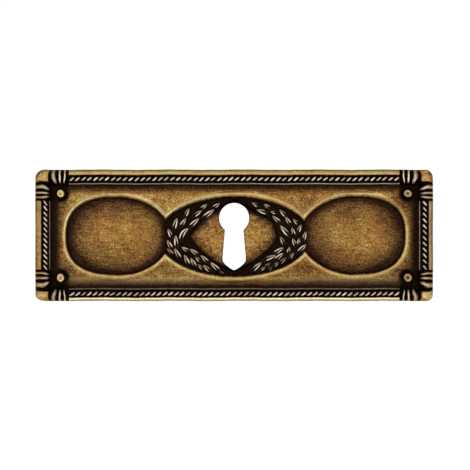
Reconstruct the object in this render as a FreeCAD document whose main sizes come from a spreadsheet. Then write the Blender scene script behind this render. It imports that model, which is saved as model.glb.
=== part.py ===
import FreeCAD
import Part
import math
import os
import Sketcher

from FreeCAD import Placement, Rotation, Vector

# Keyhole escutcheon for a drawer or a cabinet door: one brass casting.
# It is drawn lying on its back, face up: x along the plate, y across it, z out of its face.
# At the end it is stood upright: the back lies on the plane y = 0, the face looks along -Y,
# and the origin is at the middle of the back.

# Driving dimensions, in millimetres and degrees. Heights are measured from the flat back.
SIZES = [
    ("plate_length", 106.0, "overall length"),
    ("plate_width", 35.1, "overall width"),
    ("plate_corner", 2.3, "radius of the outer corners"),
    ("bed_height", 1.5, "bed between the mouldings of the border"),
    ("root", 0.3, "how deep a raised form is rooted in what carries it"),
    ("reed_width", 1.5, "outer reed of the border"),
    ("reed_height", 3.0, "crown of the outer reed"),
    ("reed_round", 0.4, "rise of the rounded top of the reed"),
    ("rope_inset", 2.55, "middle of the rope from the edge"),
    ("rope_width", 1.4, "width of the rope"),
    ("rope_height", 2.6, "crown of the rope"),
    ("rope_pitch", 1.54, "one strand to the next along the rope"),
    ("rope_slant", 40.0, "slope of the strands against the rope"),
    ("strand_gap", 0.1, "gap between two strands"),
    ("strand_flat", 0.45, "full part of a strand, as a share of its length"),
    ("bead_inset", 3.55, "outer side of the thin inner bead"),
    ("bead_width", 0.5, "thin inner bead"),
    ("bead_height", 2.3, "crown of the inner bead"),
    ("bead_round", 0.15, "rise of the rounded top of the bead"),
    ("cove_width", 2.7, "hollow from the bead up to the field"),
    ("field_height", 2.2, "field round the ovals"),
    ("end_clearance", 1.0, "room above the field when its end coves are cut"),
    ("cushion_side", 3.65, "side of the small cushion on each corner"),
    ("cushion_bevel", 0.5, "bevel on the cushion's upper edges"),
    ("rib_gap", 0.55, "gap between the ribs beside a cushion"),
    ("first_rib", 1.1, "width of the rib next to the cushion"),
    ("second_rib", 0.85, "width of the middle rib"),
    ("third_rib", 0.7, "width of the rib next to the rope"),
    ("rib_reach", 3.7, "reach of a rib across the border"),
    ("rib_round", 0.3, "rise of the rounded top of a rib"),
    ("side_oval_place", 31.1, "middle of a side oval from the key's axis"),
    ("side_oval_long", 14.0, "half length of a side oval"),
    ("side_oval_short", 10.3, "half width of a side oval"),
    ("side_oval_end", 8.1, "radius of the two ends of a side oval"),
    ("key_oval_long", 20.15, "half length of the middle oval"),
    ("key_oval_short", 10.5, "half width of the middle oval"),
    ("key_oval_end", 6.9, "radius of the two ends of the middle oval"),
    ("oval_drop", 0.25, "ovals below the middle of the plate"),
    ("lip_width", 1.1, "raised lip round the ovals"),
    ("lip_height", 2.6, "crown of the lip"),
    ("lip_bevel", 0.35, "bevel on the lip's outer edge"),
    ("wall_draft", 15.0, "slope of the wall inside the lip"),
    ("floor_height", 1.2, "sunk floor of the ovals"),
    ("dome_rise", 0.8, "crown of the domes in the side ovals above the floor"),
    ("dome_radius", 72.0, "radius of a dome's crown"),
    ("dome_place", 31.65, "middle of a dome from the key's axis"),
    ("dome_long", 12.1, "half length of a dome at its foot"),
    ("dome_short", 9.4, "half width of a dome at its foot"),
    ("dome_end", 7.9, "radius of the two ends of a dome"),
    ("eye_long", 12.1, "half length of the flat land round the keyhole"),
    ("eye_short", 9.6, "half width of that land"),
    ("eye_bow", 24.0, "radius of the land's four bowed sides"),
    ("eye_height", 1.9, "land round the keyhole"),
    ("key_radius", 4.0, "round part of the keyhole"),
    ("key_rise", 4.6, "middle of the round part above the middle of the plate"),
    ("key_neck", 4.92, "width of the slot at the round part"),
    ("key_foot", 6.3, "width of the slot at its foot"),
    ("key_foot_drop", 6.5, "foot of the slot below the middle of the plate"),
    ("key_tip_drop", 9.28, "tip of the slot below the middle of the plate"),
    ("key_tip_bow", 3.6, "radius of the two bowed sides of the tip"),
    ("boss_foot", 2.8, "false pin head in a corner, across its rooted foot"),
    ("boss_top", 1.5, "false pin head across its top"),
    ("boss_along", 6.75, "middle of a pin head from the plate's end"),
    ("boss_across", 6.35, "middle of a pin head from the plate's long side"),
    ("boss_height", 2.8, "crown of a pin head"),
    ("leaf_length", 3.9, "laurel leaf"),
    ("leaf_width", 1.5, "laurel leaf at its widest"),
    ("leaf_height", 2.2, "top of a leaf's two lobes"),
    ("leaf_vein", 0.3, "depth of the vein between the lobes"),
    ("leaf_lobe", 0.1, "widest place behind the middle, as a share of half a leaf's length"),
    ("inner_row_out", 0.8, "innermost leaves beyond the two points of the land"),
    ("inner_row_in", 1.0, "innermost leaves inside the land's foot and head"),
    ("outer_row_end", 1.6, "outermost leaves from the lip at the oval's ends"),
    ("outer_row_side", 1.4, "outermost leaves from the lip at the oval's sides"),
]
ALIASES = [alias for alias, _, _ in SIZES]

document = FreeCAD.newDocument("keyhole_escutcheon")
sheet = document.addObject("Spreadsheet::Sheet", "sizes")
for row, (alias, value, meaning) in enumerate(SIZES, start=1):
    sheet.set(f"A{row}", meaning)
    sheet.set(f"B{row}", str(value))
    sheet.setAlias(f"B{row}", alias)
document.recompute()


def bound(expression):
    """A sum of named sizes, as an object of the document reads it from the sheet."""
    words = expression.replace("(", "( ").replace(")", " )").split()
    return " ".join("sizes." + word if word in ALIASES else word for word in words)


def size(expression):
    """The value of a sum of named sizes."""
    return float(sheet.evalExpression(bound(expression)))


def tie(thing, **sums):
    """Ties properties of an object to the sheet."""
    for name, expression in sums.items():
        thing.setExpression(name, bound(expression))


def put(thing, along, across, up):
    """Ties the place of an object to the sheet."""
    for axis, expression in (("x", along), ("y", across), ("z", up)):
        thing.setExpression(f".Placement.Base.{axis}", bound(expression))


def new_sketch(body, role, name):
    sketch = body.newObject("Sketcher::SketchObject", name)
    plane = next(feature for feature in body.Origin.OriginFeatures if feature.Role == role)
    sketch.AttachmentSupport = [(plane, "")]
    sketch.MapMode = "FlatFace"
    return sketch


def outline(sketch, corners):
    """Draws a closed outline, anticlockwise. A corner is (x, y), or (x, y, radius) where an arc runs
    to the next corner: it bulges outward, or inward where the radius has a minus before it."""
    first = sketch.GeometryCount
    points = [Vector(size(corner[0]), size(corner[1]), 0) for corner in corners]
    for index, corner in enumerate(corners):
        start = points[index]
        end = points[(index + 1) % len(points)]
        if len(corner) == 2:
            sketch.addGeometry(Part.LineSegment(start, end), False)
            continue
        radius = size(corner[2])
        chord = end - start
        rise = abs(radius) - math.sqrt(radius**2 - chord.Length**2 / 4)
        outward = Vector(chord.y, -chord.x, 0).normalize() * math.copysign(rise, radius)
        sketch.addGeometry(Part.Arc(start, (start + end) * 0.5 + outward, end), False)
    for index, corner in enumerate(corners):
        after = (index + 1) % len(corners)
        head = end_at(sketch, first + index, points[index])
        tail = end_at(sketch, first + index, points[after])
        meeting = end_at(sketch, first + after, points[after])
        sketch.addConstraint(
            Sketcher.Constraint("Coincident", first + index, tail, first + after, meeting)
        )
        for kind, value, expression in (
            ("DistanceX", points[index].x, corner[0]),
            ("DistanceY", points[index].y, corner[1]),
        ):
            number = sketch.addConstraint(
                Sketcher.Constraint(kind, -1, 1, first + index, head, value)
            )
            sketch.setExpression(f"Constraints[{number}]", bound(expression))
        if len(corner) == 3:
            number = sketch.addConstraint(
                Sketcher.Constraint("Radius", first + index, abs(size(corner[2])))
            )
            sketch.setExpression(f"Constraints[{number}]", bound(f"abs( {corner[2]} )"))


def end_at(sketch, edge, point):
    """Which end of an edge, 1 or 2, lies at a point."""
    distances = [(sketch.getPoint(edge, end) - point).Length for end in (1, 2)]
    return 1 + distances.index(min(distances))


def pad(body, sketch, name, length, side="One side"):
    feature = body.newObject("PartDesign::Pad", name)
    feature.Profile = sketch
    feature.SideType = side
    tie(feature, Length=length)
    return feature


# The plate: its bed, the sunk cove and the field, the reeds and beads of the border, and the cushions.

HALF_LONG = "plate_length / 2"
HALF_WIDE = "plate_width / 2"
plate = document.addObject("PartDesign::Body", "plate")

bed = new_sketch(plate, "XY_Plane", "bed_outline")
outline(bed, [
    (f"- {HALF_LONG} + plate_corner", f"- {HALF_WIDE}"),
    (f"{HALF_LONG} - plate_corner", f"- {HALF_WIDE}", "plate_corner"),
    (HALF_LONG, f"- {HALF_WIDE} + plate_corner"),
    (HALF_LONG, f"{HALF_WIDE} - plate_corner", "plate_corner"),
    (f"{HALF_LONG} - plate_corner", HALF_WIDE),
    (f"- {HALF_LONG} + plate_corner", HALF_WIDE, "plate_corner"),
    (f"- {HALF_LONG}", f"{HALF_WIDE} - plate_corner"),
    (f"- {HALF_LONG}", f"- {HALF_WIDE} + plate_corner", "plate_corner"),
])
pad(plate, bed, "bed", "bed_height")

# The field is an extrusion along the plate with a cove at each long side. Its two ends get the same
# cove from a pocket, so the four coves meet in mitres.
COVE_RISE = "( field_height - bed_height )"
COVE_RADIUS = f"( cove_width ^ 2 + {COVE_RISE} ^ 2 ) / ( 2 * {COVE_RISE} )"
field_section = new_sketch(plate, "YZ_Plane", "field_section")
side = f"( {HALF_WIDE} - bead_inset - bead_width )"
outline(field_section, [
    (f"- {side}", "bed_height - root"),
    (side, "bed_height - root"),
    (side, "bed_height", f"- {COVE_RADIUS}"),
    (f"{side} - cove_width", "field_height"),
    (f"- {side} + cove_width", "field_height", f"- {COVE_RADIUS}"),
    (f"- {side}", "bed_height"),
])
pad(plate, field_section, "field", "plate_length - 2 * ( bead_inset + bead_width )", "Symmetric")

end = f"( {HALF_LONG} - bead_inset - bead_width )"
end_coves = new_sketch(plate, "XZ_Plane", "end_coves")
outline(end_coves, [
    (f"{end} - cove_width", "field_height", f"- {COVE_RADIUS}"),
    (end, "bed_height"),
    (end, f"field_height + end_clearance"),
    (f"{end} - cove_width", f"field_height + end_clearance"),
])
outline(end_coves, [
    (f"- {end}", "bed_height", f"- {COVE_RADIUS}"),
    (f"- {end} + cove_width", "field_height"),
    (f"- {end} + cove_width", f"field_height + end_clearance"),
    (f"- {end}", f"field_height + end_clearance"),
])
end_cut = plate.newObject("PartDesign::Pocket", "end_cove_cut")
end_cut.Profile = end_coves
end_cut.SideType = "Symmetric"
tie(end_cut, Length="plate_width")


def rounded_bar(sketch, near, far, crown, rise):
    """The section of a straight moulding: upright sides and a rounded top."""
    radius = f"( ( {far} - ( {near} ) ) ^ 2 / 4 + {rise} ^ 2 ) / ( 2 * {rise} )"
    outline(sketch, [
        (near, "bed_height - root"),
        (far, "bed_height - root"),
        (far, f"{crown} - {rise}", radius),
        (near, f"{crown} - {rise}"),
    ])


# Each corner takes this much of every side: the cushion, three ribs and the gaps between them.
CORNER_RUN = "( cushion_side + 4 * rib_gap + first_rib + second_rib + third_rib )"
for role, half, length in (
    ("YZ_Plane", HALF_WIDE, f"plate_length - 2 * {CORNER_RUN}"),
    ("XZ_Plane", HALF_LONG, f"plate_width - 2 * {CORNER_RUN}"),
):
    mouldings = new_sketch(plate, role, "mouldings_" + role[:2].lower())
    rounded_bar(mouldings, f"{half} - reed_width", half, "reed_height", "reed_round")
    rounded_bar(mouldings, f"- {half}", f"- {half} + reed_width", "reed_height", "reed_round")
    bead = (f"{half} - bead_inset - bead_width", f"{half} - bead_inset")
    rounded_bar(mouldings, *bead, "bead_height", "bead_round")
    bead = (f"- {half} + bead_inset", f"- {half} + bead_inset + bead_width")
    rounded_bar(mouldings, *bead, "bead_height", "bead_round")
    pad(plate, mouldings, "reeds_and_beads_" + role[:2].lower(), length, "Symmetric")

cushions = new_sketch(plate, "XY_Plane", "corner_cushions")
for end_sign in ("", "- "):
    for side_sign in ("", "- "):
        outer_x, outer_y = f"{end_sign}{HALF_LONG}", f"{side_sign}{HALF_WIDE}"
        back_x = "-" if end_sign == "" else "+"
        back_y = "-" if side_sign == "" else "+"
        inner_x, inner_y = f"{outer_x} {back_x} cushion_side", f"{outer_y} {back_y} cushion_side"
        corners = [
            (inner_x, inner_y),
            (outer_x, inner_y),
            (outer_x, f"{outer_y} {back_y} plate_corner", "plate_corner"),
            (f"{outer_x} {back_x} plate_corner", outer_y),
            (inner_x, outer_y),
        ]
        if end_sign != side_sign:
            # Mirrored once, the corners run clockwise, so their order is turned round.
            inner, end, round_start, round_end, side_end = corners
            corners = [inner, side_end, round_end + ("plate_corner",), round_start[:2], end]
        outline(cushions, corners)
pad(plate, cushions, "cushions", "reed_height")
document.recompute()
cushion_feature = plate.Tip
rims = []
for number, edge in enumerate(cushion_feature.Shape.Edges, start=1):
    middle = edge.valueAt((edge.FirstParameter + edge.LastParameter) / 2)
    level = all(abs(v.Z - size("reed_height")) < 1e-6 for v in edge.Vertexes)
    on_end = abs(middle.x) >= size(f"{HALF_LONG} - cushion_side") - 1e-6
    on_side = abs(middle.y) >= size(f"{HALF_WIDE} - cushion_side") - 1e-6
    if level and on_end and on_side:
        rims.append(f"Edge{number}")
bevel = plate.newObject("PartDesign::Chamfer", "cushion_bevel")
bevel.Base = (cushion_feature, rims)
tie(bevel, Size="cushion_bevel")
document.recompute()


# The ovals: one raised lip follows the outline of three overlapping ovals, and the space inside it is
# sunk below the field. Each oval is drawn with four arcs: two round ends and two flatter sides.

def oval(sketch, place, half_long, half_wide, end_radius, out):
    """An oval outline, or one that runs a distance outside it."""
    flat = f"( ( {half_long} ^ 2 - 2 * {half_long} * {end_radius} + {half_wide} ^ 2 )"
    flat = f"{flat} / ( 2 * ( {half_wide} - {end_radius} ) ) )"
    spread = f"( {flat} - {end_radius} )"
    join_x = f"( {flat} + {out} ) * ( {half_long} - {end_radius} ) / {spread}"
    join_y = f"( {flat} - {half_wide} ) * ( {end_radius} + {out} ) / {spread}"
    outline(sketch, [
        (f"{place} + {join_x}", f"- oval_drop - {join_y}", f"{end_radius} + {out}"),
        (f"{place} + {join_x}", f"- oval_drop + {join_y}", f"{flat} + {out}"),
        (f"{place} - {join_x}", f"- oval_drop + {join_y}", f"{end_radius} + {out}"),
        (f"{place} - {join_x}", f"- oval_drop - {join_y}", f"{flat} + {out}"),
    ])


def fuse(name, pieces):
    union = document.addObject("Part::MultiFuse", name)
    union.Shapes = pieces
    return union


def cut(name, base, tool):
    difference = document.addObject("Part::Cut", name)
    difference.Base = base
    difference.Tool = tool
    return difference


OVALS = (
    ("left_oval", "- side_oval_place", "side_oval_long", "side_oval_short", "side_oval_end"),
    ("key_oval", "0", "key_oval_long", "key_oval_short", "key_oval_end"),
    ("right_oval", "side_oval_place", "side_oval_long", "side_oval_short", "side_oval_end"),
)
lips = []
hollows = []
for name, *measures in OVALS:
    lip = document.addObject("PartDesign::Body", f"{name}_lip")
    lip_outline = new_sketch(lip, "XY_Plane", f"{name}_lip_outline")
    oval(lip_outline, *measures, "lip_width")
    slab = pad(lip, lip_outline, f"{name}_lip_slab", "lip_height")
    document.recompute()
    top = max(range(len(slab.Shape.Faces)), key=lambda number: slab.Shape.Faces[number].CenterOfMass.z)
    bevel = lip.newObject("PartDesign::Chamfer", f"{name}_lip_bevel")
    bevel.Base = (slab, [f"Face{top + 1}"])
    tie(bevel, Size="lip_bevel")
    lips.append(lip)
    hollow = document.addObject("PartDesign::Body", f"{name}_hollow")
    hollow_outline = new_sketch(hollow, "XY_Plane", f"{name}_hollow_outline")
    hollow_outline.setExpression(".AttachmentOffset.Base.z", bound("floor_height"))
    oval(hollow_outline, *measures, "0")
    core = pad(hollow, hollow_outline, f"{name}_hollow_core", "lip_height")
    tie(core, TaperAngle="wall_draft")
    hollows.append(hollow)
sunk_plate = fuse("lipped_plate", [plate] + lips)
for (name, *_), hollow in zip(OVALS, hollows):
    sunk_plate = cut(f"{name}_cut", sunk_plate, hollow)

# A low dome fills each side oval: the crown of a large ball, trimmed to an oval.
domes = []
for name, place in (("left_dome", "- dome_place"), ("right_dome", "dome_place")):
    ball = document.addObject("Part::Sphere", f"{name}_ball")
    ball.Placement = Placement(Vector(0, 0, 0), Rotation(Vector(1, 0, 0), 90))
    tie(ball, Radius="dome_radius")
    put(ball, place, "- oval_drop", "floor_height + dome_rise - dome_radius")
    core = document.addObject("PartDesign::Body", f"{name}_core")
    core_outline = new_sketch(core, "XY_Plane", f"{name}_outline")
    core_outline.setExpression(".AttachmentOffset.Base.z", bound("floor_height - root"))
    oval(core_outline, place, "dome_long", "dome_short", "dome_end", "0")
    pad(core, core_outline, f"{name}_slab", "2 * dome_rise")
    dome = document.addObject("Part::MultiCommon", name)
    dome.Shapes = [ball, core]
    domes.append(dome)

# The flat land round the keyhole is a pointed eye with four bowed sides.
eye = document.addObject("PartDesign::Body", "eye")
eye_outline = new_sketch(eye, "XY_Plane", "eye_outline")
outline(eye_outline, [
    ("eye_long", "- oval_drop", "eye_bow"),
    ("0", "eye_short - oval_drop", "eye_bow"),
    ("- eye_long", "- oval_drop", "eye_bow"),
    ("0", "- eye_short - oval_drop", "eye_bow"),
])
pad(eye, eye_outline, "land", "eye_height")

# Four false pin heads are cast in the corners of the field.
heads = []
for number, (x_sign, y_sign) in enumerate(((1, 1), (-1, 1), (-1, -1), (1, -1)), start=1):
    along = f"{x_sign} * ( {HALF_LONG} - boss_along )"
    across = f"{y_sign} * ( {HALF_WIDE} - boss_across )"
    head = document.addObject("Part::Cone", f"pin_head_{number}")
    tie(head, Radius1="boss_foot / 2", Radius2="boss_top / 2", Height="boss_height - bed_height + root")
    put(head, along, across, "bed_height - root")
    heads.append(head)


# The carving: rope strands, ribs and laurel leaves. They are made with plain solids in loops.

def faceted(points, faces):
    """A closed solid with flat faces. Each face lists the numbers of its points."""
    sides = []
    for face in faces:
        corners = [points[number] for number in face]
        sides.append(Part.Face(Part.makePolygon(corners + corners[:1])))
    solid = Part.Solid(Part.Shell(sides))
    if solid.Volume < 0:
        solid.reverse()
    return solid


def carving(name, solids):
    thing = document.addObject("Part::Feature", name)
    thing.Shape = Part.Compound(solids)
    thing.Placement = Placement()
    return thing


def turned(solid, place, degrees):
    solid.Placement = Placement(place, Rotation(Vector(0, 0, 1), degrees))
    return solid


def strand():
    """One strand of the rope: a ridge with pointed ends, drawn along x."""
    slant = math.radians(size("rope_slant"))
    reach = size("rope_width") / 2 / math.sin(slant)
    half = (size("rope_pitch") * math.sin(slant) - size("strand_gap")) / 2
    foot = size("bed_height - root")
    crown = size("rope_height")
    shoulder = reach * size("strand_flat")
    points = [
        Vector(-reach, 0, foot), Vector(-shoulder, -half, foot), Vector(shoulder, -half, foot),
        Vector(reach, 0, foot), Vector(shoulder, half, foot), Vector(-shoulder, half, foot),
        Vector(-shoulder, 0, crown), Vector(shoulder, 0, crown),
    ]
    faces = [
        (5, 4, 3, 2, 1, 0), (1, 2, 7, 6), (4, 5, 6, 7),
        (0, 1, 6), (2, 3, 7), (3, 4, 7), (5, 0, 6),
    ]
    return faceted(points, faces)


def rope():
    """Strands along the four sides, all laid the same way."""
    strands = []
    for half, other, angle in ((HALF_LONG, HALF_WIDE, 0), (HALF_WIDE, HALF_LONG, 90)):
        run = 2 * size(f"{half} - {CORNER_RUN}")
        count = round(run / size("rope_pitch"))
        across = size(f"{other} - rope_inset")
        for number in range(count):
            along = run * ((number + 0.5) / count - 0.5)
            for place in (Vector(along, across, 0), Vector(along, -across, 0)):
                turn = Rotation(Vector(0, 0, 1), angle)
                strands.append(turned(strand(), turn.multVec(place), angle + size("rope_slant")))
    return strands


def rib(width):
    """A rib across the border, drawn from the edge (x = 0) inwards along -x."""
    foot, crown = size("bed_height - root"), size("reed_height")
    shoulder = crown - size("rib_round")
    section = Part.Wire([
        Part.makeLine(Vector(0, -width / 2, foot), Vector(0, width / 2, foot)),
        Part.makeLine(Vector(0, width / 2, foot), Vector(0, width / 2, shoulder)),
        Part.Arc(
            Vector(0, width / 2, shoulder), Vector(0, 0, crown), Vector(0, -width / 2, shoulder)
        ).toShape(),
        Part.makeLine(Vector(0, -width / 2, shoulder), Vector(0, -width / 2, foot)),
    ])
    return Part.Face(section).extrude(Vector(-size("rib_reach"), 0, 0))


def ribs():
    """Three ribs beside each cushion, on both of its sides."""
    bars = []
    start = size("cushion_side")
    for width in (size("first_rib"), size("second_rib"), size("third_rib")):
        start += size("rib_gap")
        inset = start + width / 2
        start += width
        for sign in (1, -1):
            for edge, along, angle in (
                (size(HALF_WIDE), size(HALF_LONG) - inset, 90),
                (size(HALF_LONG), size(HALF_WIDE) - inset, 0),
            ):
                turn = Rotation(Vector(0, 0, 1), angle)
                for half_turn in (0, 180):
                    place = turn.multVec(Vector(edge, sign * along, 0))
                    place = Rotation(Vector(0, 0, 1), half_turn).multVec(place)
                    bars.append(turned(rib(width), place, angle + half_turn))
    return bars


def leaf():
    """A laurel leaf with two lobes and a vein between them, its tip towards +x."""
    reach, half = size("leaf_length / 2"), size("leaf_width / 2")
    foot, crown = size("floor_height - root"), size("leaf_height")
    vein = crown - size("leaf_vein")
    belly = -reach * size("leaf_lobe")
    points = [
        Vector(reach, 0, foot), Vector(belly, half, foot), Vector(-reach, 0, foot),
        Vector(belly, -half, foot), Vector(belly, half / 2, crown), Vector(belly, -half / 2, crown),
        Vector(belly, 0, vein),
    ]
    faces = [
        (3, 2, 1, 0), (0, 1, 4), (1, 2, 4), (2, 3, 5), (3, 0, 5),
        (0, 4, 6), (4, 2, 6), (2, 5, 6), (5, 0, 6),
    ]
    return faceted(points, faces)


# The three rows of each branch: its share of the way from the land to the lip, how many leaves it
# has, and the angles of its lowest and its topmost leaf round the middle of the oval.
LEAF_ROWS = (
    (0.12, 7, 240, 126),
    (0.50, 8, 243, 118),
    (0.88, 9, 245, 116),
)
# A row follows a curve between a lozenge (power 1) and an ellipse (power 2).
LAND_POWER, LIP_POWER = 1.4, 2.0


def branch_point(angle, row):
    """A point of the left branch. The row is 0 beside the land of the keyhole, and 1 at the lip."""
    inner_long, outer_long = size("eye_long + inner_row_out"), size("key_oval_long - outer_row_end")
    inner_short, outer_short = size("eye_short - inner_row_in"), size("key_oval_short - outer_row_side")
    long = inner_long + (outer_long - inner_long) * row
    short = inner_short + (outer_short - inner_short) * row
    power = LAND_POWER + (LIP_POWER - LAND_POWER) * row
    x, y = math.cos(math.radians(angle)), math.sin(math.radians(angle))
    reach = (abs(x / long) ** power + abs(y / short) ** power) ** (-1 / power)
    return Vector(x * reach, y * reach - size("oval_drop"), 0)


def wreath():
    """Two mirrored branches that grow from the foot of the oval up to its top, in three rows."""
    leaves = []
    for row, count, foot_angle, top_angle in LEAF_ROWS:
        for number in range(count):
            angle = foot_angle + (top_angle - foot_angle) * number / (count - 1)
            place = branch_point(angle, row)
            growth = branch_point(angle - 1, row) - branch_point(angle + 1, row)
            heading = math.degrees(math.atan2(growth.y, growth.x))
            leaves.append(turned(leaf(), place, heading))
            mirrored = Vector(-place.x, place.y, 0)
            leaves.append(turned(leaf(), mirrored, 180 - heading))
    # Neighbouring leaves overlap, so they are joined before they meet the plate.
    return leaves[0].multiFuse(leaves[1:]).Solids


carved = sunk_plate
for name, forms in (
    ("land", [eye]),
    ("domes", domes),
    ("ribs", [carving("ribs", ribs())]),
    ("wreath", [carving("wreath", wreath())]),
    ("rope", [carving("rope", rope())]),
    ("pin_heads", heads),
):
    carved = fuse(f"plate_with_{name}", [carved] + forms)

# The keyhole goes right through: a round part, and a slot that widens towards its pointed foot.
keyhole = document.addObject("PartDesign::Body", "keyhole")
keyhole_outline = new_sketch(keyhole, "XY_Plane", "keyhole_outline")
NECK = "( key_rise - sqrt( key_radius ^ 2 - key_neck ^ 2 / 4 ) )"
outline(keyhole_outline, [
    ("0", "- key_tip_drop", "key_tip_bow"),
    ("key_foot / 2", "- key_foot_drop"),
    ("key_neck / 2", NECK, "key_radius"),
    ("key_radius", "key_rise", "key_radius"),
    ("0", "key_rise + key_radius", "key_radius"),
    ("- key_radius", "key_rise", "key_radius"),
    ("- key_neck / 2", NECK),
    ("- key_foot / 2", "- key_foot_drop", "key_tip_bow"),
])
pad(keyhole, keyhole_outline, "keyhole_core", "2 * reed_height", "Symmetric")

escutcheon = cut("escutcheon", carved, keyhole)
escutcheon.Label = "escutcheon"
escutcheon.Placement = Placement(Vector(0, 0, 0), Rotation(Vector(1, 0, 0), 90))
document.recompute()

for thing in document.Objects:
    if "Invalid" in thing.State or "Error" in thing.State:
        raise RuntimeError(f"{thing.Name} did not build: {thing.State}")
shape = escutcheon.Shape
if shape.isNull() or not shape.isValid() or len(shape.Solids) != 1:
    raise RuntimeError("the escutcheon is not one sound solid")

os.makedirs("parts", exist_ok=True)
shape.Solids[0].exportStep(os.path.join("parts", escutcheon.Label + ".step"))
box = shape.BoundBox
print(f"escutcheon: {box.XLength:.2f} x {box.YLength:.2f} x {box.ZLength:.2f} mm, {shape.Volume:.0f} mm3")
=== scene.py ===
import math

import bmesh
import bpy
import numpy as np
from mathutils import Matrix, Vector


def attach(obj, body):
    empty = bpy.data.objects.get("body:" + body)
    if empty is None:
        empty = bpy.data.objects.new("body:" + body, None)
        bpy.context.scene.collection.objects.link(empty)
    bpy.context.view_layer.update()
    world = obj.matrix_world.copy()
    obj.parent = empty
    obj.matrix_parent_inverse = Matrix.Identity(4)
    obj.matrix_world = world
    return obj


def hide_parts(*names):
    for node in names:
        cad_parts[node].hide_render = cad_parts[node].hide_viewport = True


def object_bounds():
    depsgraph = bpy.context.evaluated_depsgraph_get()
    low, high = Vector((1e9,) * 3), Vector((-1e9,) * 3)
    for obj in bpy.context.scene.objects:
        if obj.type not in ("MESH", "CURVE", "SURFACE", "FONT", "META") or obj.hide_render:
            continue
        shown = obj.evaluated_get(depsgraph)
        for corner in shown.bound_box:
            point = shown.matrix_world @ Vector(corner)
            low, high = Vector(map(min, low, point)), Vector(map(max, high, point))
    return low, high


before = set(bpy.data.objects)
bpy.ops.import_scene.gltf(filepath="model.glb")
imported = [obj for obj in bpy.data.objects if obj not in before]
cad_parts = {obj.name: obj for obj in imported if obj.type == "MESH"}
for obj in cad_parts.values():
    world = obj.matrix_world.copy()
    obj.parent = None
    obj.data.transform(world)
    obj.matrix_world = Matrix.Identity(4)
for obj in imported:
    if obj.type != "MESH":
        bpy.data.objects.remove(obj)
cad_low, cad_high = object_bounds()


# The camera stands straight in front of the plate with a long lens, as in the photograph, where no
# side of the plate shows. The photograph is 470 pixels wide, and the plate takes 398.6 of them.
PHOTO_PIXELS, PLATE_PIXELS = 470, 398.6
# In the photograph the plate lies this many pixels left of the middle, and below it.
PIXELS_LEFT, PIXELS_DOWN = 0.83, 0.3
pixel = (cad_high[0] - cad_low[0]) / PLATE_PIXELS
lens = bpy.data.cameras.new("camera")
lens.lens, lens.sensor_width = 300.0, 36.0
lens.clip_start, lens.clip_end = 0.05, 20.0
camera = bpy.data.objects.new("camera", lens)
bpy.context.collection.objects.link(camera)
distance = PHOTO_PIXELS * pixel / lens.sensor_width * lens.lens
camera.location = (PIXELS_LEFT * pixel, cad_low[1] - distance, PIXELS_DOWN * pixel)
camera.rotation_euler = (math.radians(90), 0, 0)
bpy.context.scene.camera = camera


# The plate is one flat-backed brass casting. Its border is an outer reed, a groove for the rope, a thin
# bead and a cove. In the field one lip runs round three linked ovals that are sunk below it: a low dome
# fills each side oval, and a flat land lies round the keyhole.

# Sizes are in millimetres, and a height is measured from the flat back.
HALF_LONG, HALF_WIDE, CORNER = 53.0, 17.55, 2.3
BED, LIP, FLOOR, LAND, DOME = 1.5, 2.6, 1.2, 1.9, 2.0
# An oval: its middle, half its length and width, and the powers of its inner and outer end. An end is
# round with a power of 2, squarer with a higher one and more pointed with a lower one.
SIDE_OVALS = ((-30.9, -0.17, 13.8, 10.37, 2.0, 2.56), (31.46, 0.02, 14.03, 10.42, 1.84, 2.62))
KEY_OVAL = (0.0, -0.33, 20.15, 10.65, 2.0, 2.0)
# A dome: its middle, and half its length and width. The painted light and shade and the rubbing on each
# dome lie in an oval of their own.
DOMES = ((-31.56, -0.2, 12.3, 9.5), (31.7, -0.2, 12.3, 9.5))
LIGHT_AND_WEAR_OVALS = ((-30.3, 0.1, 13.9, 10.5), (32.1, 0.3, 13.4, 10.4))
# How light each dome is painted in that oval, from its middle (0) to its edge (1): black patina towards its
# foot, and painted shade where the dome curves away.
DOME_SHADES = (
    (0, 0.575), (0.36, 0.575), (0.46, 0.55), (0.55, 0.51), (0.65, 0.47), (0.74, 0.43), (0.81, 0.375),
    (0.88, 0.30), (0.94, 0.22), (1.0, 0.15),
)
# Soft lighter and darker spots on the domes, partly painted light and shade and partly uneven rubbing:
# middle, radius and how much.
LIGHT_AND_WEAR_SPOTS = (
    (-30.9, 5.8, 2.8, -0.07), (-34.6, -5.0, 3.2, -0.06), (-30.2, -4.8, 2.8, -0.05), (-22.8, 0.4, 2.2, 0.05),
    (-25.0, -3.6, 2.4, 0.03), (38.0, -0.6, 3.0, 0.09), (35.4, -3.0, 2.8, 0.05), (36.4, 3.8, 2.4, 0.05),
    (31.0, 5.9, 2.8, -0.06), (24.2, -2.4, 3.6, -0.09), (27.0, 4.6, 2.4, -0.03),
)
# How far the black is rubbed off the land, from its edge inwards.
LAND_SHADES = ((0, 0.05), (0.4, 0.14), (1.2, 0.36), (2.6, 0.55), (4.0, 0.60))
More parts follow.
